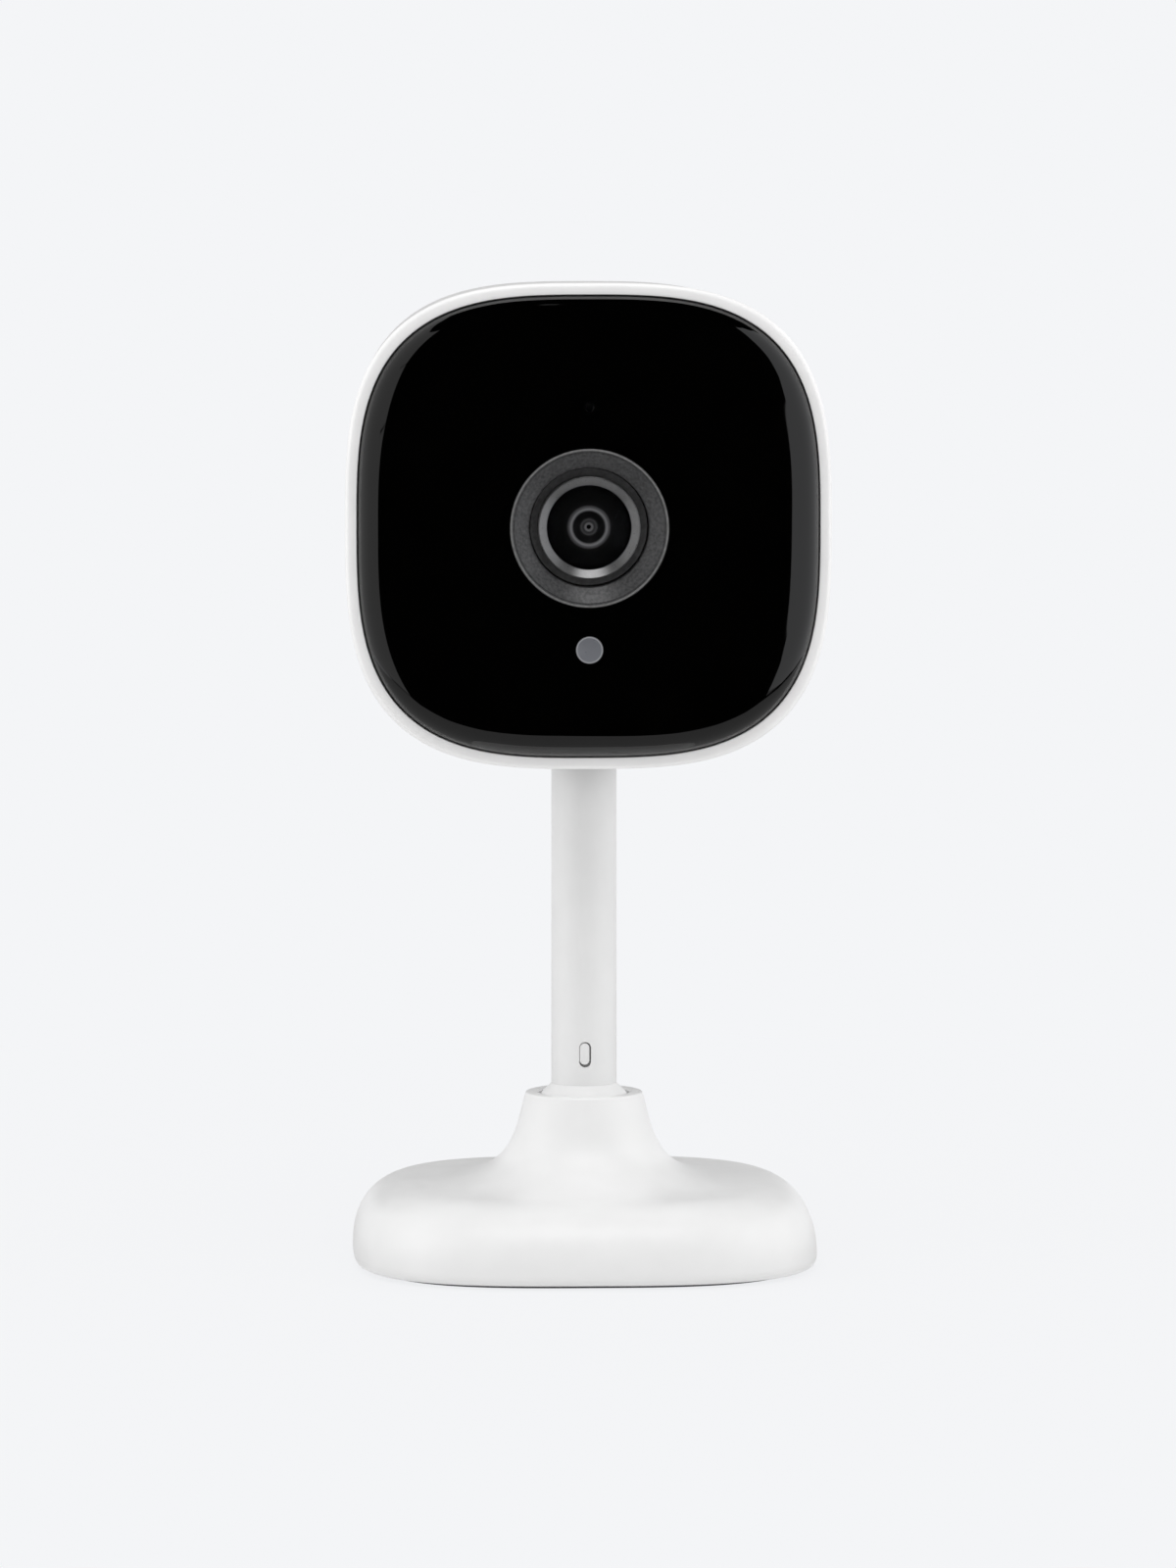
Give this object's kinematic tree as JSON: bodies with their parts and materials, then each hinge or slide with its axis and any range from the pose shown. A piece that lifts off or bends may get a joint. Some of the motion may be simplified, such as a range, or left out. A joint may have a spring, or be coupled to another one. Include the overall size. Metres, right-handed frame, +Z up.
{
  "type": "security camera",
  "caption": "Indoor security camera: rounded-square head with a black glossy window and central lens, tilting on a slim round stem that swivels in a weighted rounded-square base.",
  "frame": {"origin": "centre of the foot pad's underside, on the table, below the stem's axis", "axes": "+Z up along the stem, -Y the way the lens looks, +X to the right of someone facing the lens"},
  "size_m": [0.058, 0.056, 0.1189],
  "materials": {
    "white_shell": "satin",
    "white_stem": "satin",
    "white_base": "satin",
    "black_window": "polished",
    "ring_grey": "fine spark texture",
    "barrel_metal": "anodised",
    "lens_glass": "coated",
    "black_plastic": "matte",
    "frame_plastic": "matte",
    "coil_copper": "enamelled",
    "filter_glass": "coated",
    "clear_glass": "polished",
    "sensor_dark": "polished",
    "circuit_board": "solder mask",
    "steel": "plated",
    "weight_steel": "plain",
    "plated_can": "tinned",
    "spreader_metal": "plain",
    "brass_spacer": "turned",
    "antenna_film": "film",
    "thermal_rubber": "soft",
    "lamp_plastic": "clear cap",
    "light_pipe": "satin",
    "soft_rubber": "matte",
    "pad_rubber": "matte",
    "plate_plastic": "matte",
    "nylon": "matte"
  },
  "bodies": {
    "base": {"base_cover": "white_base", "base_plate": "plate_plastic", "base_weight": "weight_steel", "weight_screws": "steel", "foot_pad": "pad_rubber", "wave_washer": "steel"},
    "stem": {"stem_tube": "white_stem", "stem_knuckle": "white_stem", "swivel_collar": "white_stem", "swivel_washer": "steel", "swivel_screw": "steel"},
    "latch": {"latch_tongue": "white_stem"},
    "head": {"head_shell": "white_shell", "front_window": "black_window", "lens_ring": "ring_grey", "lens_barrel": "barrel_metal", "front_glass": "lens_glass", "middle_glass": "lens_glass", "rear_glass": "lens_glass", "aperture_stop": "black_plastic", "lens_retainer": "black_plastic", "lens_holder": "black_plastic", "holder_screws": "steel", "ir_cut_frame": "frame_plastic", "ir_cut_coil": "coil_copper", "image_sensor": "sensor_dark", "main_board": "circuit_board", "main_board_screws": "steel", "processor": "black_plastic", "thermal_pad": "thermal_rubber", "heat_spreader": "spreader_metal", "wifi_shield": "plated_can", "antenna": "antenna_film", "card_socket": "plated_can", "led_board": "circuit_board", "board_spacers": "brass_spacer", "led_board_screws": "steel", "ir_leds": "lamp_plastic", "status_light_pipe": "light_pipe", "status_led": "lamp_plastic", "light_sensor": "black_plastic", "microphone": "plated_can", "mic_boot": "soft_rubber", "speaker": "black_plastic", "speaker_gasket": "soft_rubber", "port_board": "circuit_board", "port_board_screws": "steel", "usb_socket": "plated_can", "reset_switch": "black_plastic", "hinge_bracket": "frame_plastic", "bracket_screws": "steel", "hinge_pin": "steel", "hinge_nut": "steel", "friction_washers": "nylon"},
    "reset": {"reset_button": "white_shell"},
    "filter_carriage": {"ir_cut_carriage": "black_plastic", "ir_filter": "filter_glass", "clear_filter": "clear_glass"}
  },
  "joints": [
    {"name": "stem_swivel", "type": "hinge", "parent": "base", "child": "stem", "pos_m": [0, 0, 0.0203], "axis": [0, 0, 1], "continuous": true},
    {"name": "head_tilt", "type": "hinge", "parent": "stem", "child": "head", "pos_m": [0, 0, 0.0734], "axis": [-1, 0, 0], "range_deg": [-25, 90]},
    {"name": "latch_bend", "type": "hinge", "parent": "stem", "child": "latch", "pos_m": [0, -0.00235, 0.0302], "axis": [1, 0, 0], "range_deg": [0, 9], "stiffness_Nm_per_rad": 0.05},
    {"name": "reset_press", "type": "slide", "parent": "head", "child": "reset", "axis": [0, -1, 0], "range_m": [0, 0.0005], "stiffness_N_per_m": 800},
    {"name": "filter_slide", "type": "slide", "parent": "head", "child": "filter_carriage", "axis": [-1, 0, 0], "range_m": [0, 0.0066]}
  ]
}
